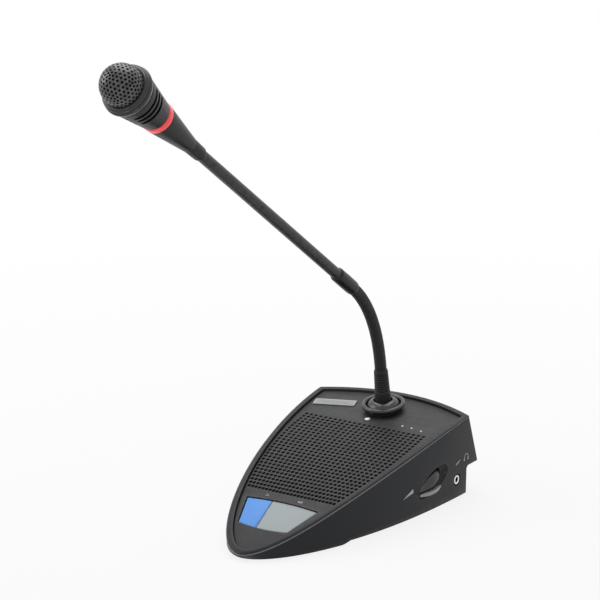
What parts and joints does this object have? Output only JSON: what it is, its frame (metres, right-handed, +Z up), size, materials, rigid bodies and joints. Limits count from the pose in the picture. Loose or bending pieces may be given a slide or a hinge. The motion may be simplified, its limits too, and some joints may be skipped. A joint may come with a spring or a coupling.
{
  "type": "gooseneck conference microphone",
  "caption": "Desktop conference microphone unit: wedge base with loudspeaker grille, talk keys, volume wheel and jack, and a bendable gooseneck arm with a ring-lit head.",
  "frame": {"origin": "on the desk plane, under the middle of the whole unit", "axes": "+Z up from the desk, -Y towards the person who speaks, +X to that person's right"},
  "size_m": [0.117, 0.3332, 0.3277],
  "materials": {
    "charcoal_plastic": "fine satin texture",
    "black_plastic": "smooth satin",
    "black_paint": "satin black paint",
    "black_rubber": "matt",
    "blue_key": "satin",
    "grey_key": "satin",
    "red_light": "translucent light ring",
    "white_lamp": "light pipe",
    "silver": "satin metal",
    "steel": "plated",
    "brass": "machined",
    "board_green": "circuit board",
    "paper_cone": "paper",
    "foam": "open foam"
  },
  "bodies": {
    "base": {"base_screw_front_left": "steel", "base_screw_front_right": "steel", "base_screw_mid_left": "steel", "base_screw_mid_right": "steel", "base_screw_rear": "steel", "blank_plate": "silver", "board_screw_front_left": "steel", "board_screw_front_right": "steel", "board_screw_rear": "steel", "bottom_plate": "steel", "foot_front_left": "black_rubber", "foot_front_right": "black_rubber", "foot_rear_left": "black_rubber", "foot_rear_right": "black_rubber", "housing_shell": "charcoal_plastic", "jack_ring": "silver", "key_board": "board_green", "key_board_screw_left": "steel", "key_board_screw_right": "steel", "line_socket_left": "black_plastic", "line_socket_right": "black_plastic", "main_board": "board_green", "neck_bezel": "black_plastic", "neck_boot": "black_rubber", "neck_bush": "brass", "neck_nut": "steel", "phone_jack": "black_plastic", "power_lamp": "white_lamp", "priority_switch": "black_plastic", "speak_switch": "black_plastic", "speaker_cone": "paper_cone", "speaker_frame": "black_paint", "speaker_magnet": "steel", "status_lamp_1": "white_lamp", "status_lamp_2": "white_lamp", "status_lamp_3": "white_lamp", "top_panel": "charcoal_plastic", "volume_pot": "black_plastic"},
    "neck_1": {"neck_segment_1": "black_rubber"},
    "neck_2": {"neck_segment_2": "black_rubber"},
    "neck_3": {"neck_segment_3": "black_rubber"},
    "neck_4": {"neck_segment_4": "black_rubber"},
    "neck_5": {"neck_segment_5": "black_rubber"},
    "neck_6": {"neck_segment_6": "black_rubber"},
    "neck_7": {"neck_segment_7": "black_rubber"},
    "arm": {"neck_collar": "black_plastic", "neck_rod": "black_paint", "head_sleeve": "black_plastic", "head_cone": "black_plastic", "light_ring": "red_light", "ring_light_board": "board_green", "head_body": "black_paint", "grille_rim": "black_paint", "mesh_ball": "black_paint", "foam_liner": "foam", "capsule_holder": "black_rubber", "capsule": "silver"},
    "priority_key": {"priority_key": "blue_key"},
    "speak_key": {"speak_key": "grey_key"},
    "volume_wheel": {"volume_wheel": "black_plastic"}
  },
  "joints": [
    {"name": "neck_pitch_1", "type": "hinge", "parent": "base", "child": "neck_1", "pos_m": [0, 0.12211, 0.08198], "axis": [1, 0, 0], "range_deg": [-20, 8]},
    {"name": "neck_sideways_1", "type": "hinge", "parent": "neck_1", "child": "neck_2", "pos_m": [0, 0.12025, 0.09242], "axis": [0, 0.9647, 0.2632], "range_deg": [-15, 15]},
    {"name": "neck_pitch_2", "type": "hinge", "parent": "neck_2", "child": "neck_3", "pos_m": [0, 0.11746, 0.10264], "axis": [1, 0, 0], "range_deg": [-20, 8]},
    {"name": "neck_sideways_2", "type": "hinge", "parent": "neck_3", "child": "neck_4", "pos_m": [0, 0.1136, 0.11252], "axis": [0, 0.8824, 0.4705], "range_deg": [-15, 15]},
    {"name": "neck_pitch_3", "type": "hinge", "parent": "neck_4", "child": "neck_5", "pos_m": [0, 0.10861, 0.12187], "axis": [1, 0, 0], "range_deg": [-20, 8]},
    {"name": "neck_sideways_3", "type": "hinge", "parent": "neck_5", "child": "neck_6", "pos_m": [0, 0.10249, 0.13053], "axis": [0, 0.7334, 0.6798], "range_deg": [-15, 15]},
    {"name": "neck_pitch_4", "type": "hinge", "parent": "neck_6", "child": "neck_7", "pos_m": [0, 0.09528, 0.1383], "axis": [1, 0, 0], "range_deg": [-20, 8]},
    {"name": "neck_sideways_4", "type": "hinge", "parent": "neck_7", "child": "arm", "pos_m": [0, 0.08708, 0.14501], "axis": [0, 0.5764, 0.8171], "range_deg": [-15, 15]},
    {"name": "priority_key_press", "type": "slide", "parent": "base", "child": "priority_key", "axis": [0, 0.3467, -0.938], "range_m": [0, 0.0012], "stiffness_N_per_m": 500, "springref_m": -0.0005},
    {"name": "speak_key_press", "type": "slide", "parent": "base", "child": "speak_key", "axis": [0, 0.3467, -0.938], "range_m": [0, 0.0012], "stiffness_N_per_m": 500, "springref_m": -0.0005},
    {"name": "volume_turn", "type": "hinge", "parent": "base", "child": "volume_wheel", "pos_m": [0.0382, 0.09621, 0.0214], "axis": [0, -0.342, 0.9397], "range_deg": [-140, 140]}
  ]
}
